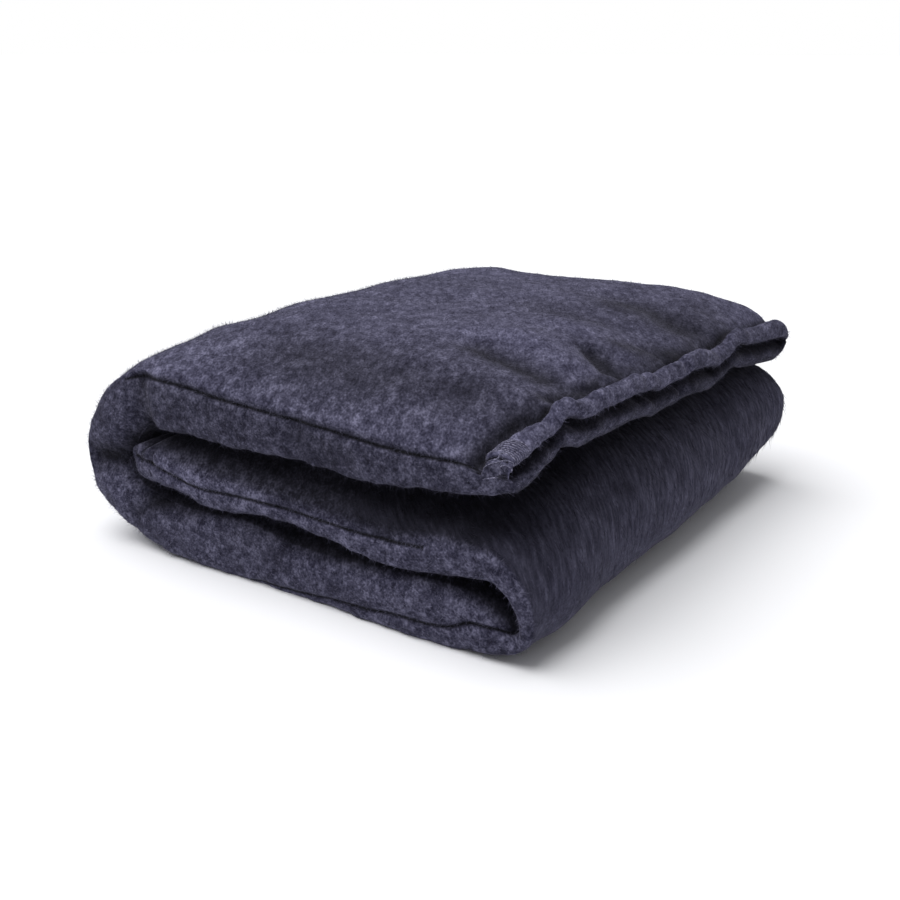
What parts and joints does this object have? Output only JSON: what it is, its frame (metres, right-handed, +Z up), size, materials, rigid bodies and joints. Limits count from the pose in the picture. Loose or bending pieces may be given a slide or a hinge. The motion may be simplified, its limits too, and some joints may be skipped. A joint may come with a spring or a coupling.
{
  "type": "folded duvet",
  "caption": "Filled brushed-wool duvet folded in three like a letter, with side seams and a rolled hem, lying flat.",
  "frame": {"origin": "on the surface that the duvet lies on, under the middle of its box", "axes": "+Z up, +X along the strip towards the free hemmed end, +Y along the folds, away from the near side edge"},
  "size_m": [0.4904, 0.526, 0.199],
  "materials": {
    "wool": "brushed, fuzzy, dark indigo and blue-grey heather"
  },
  "bodies": {
    "root": {"duvet": "wool"}
  },
  "joints": []
}
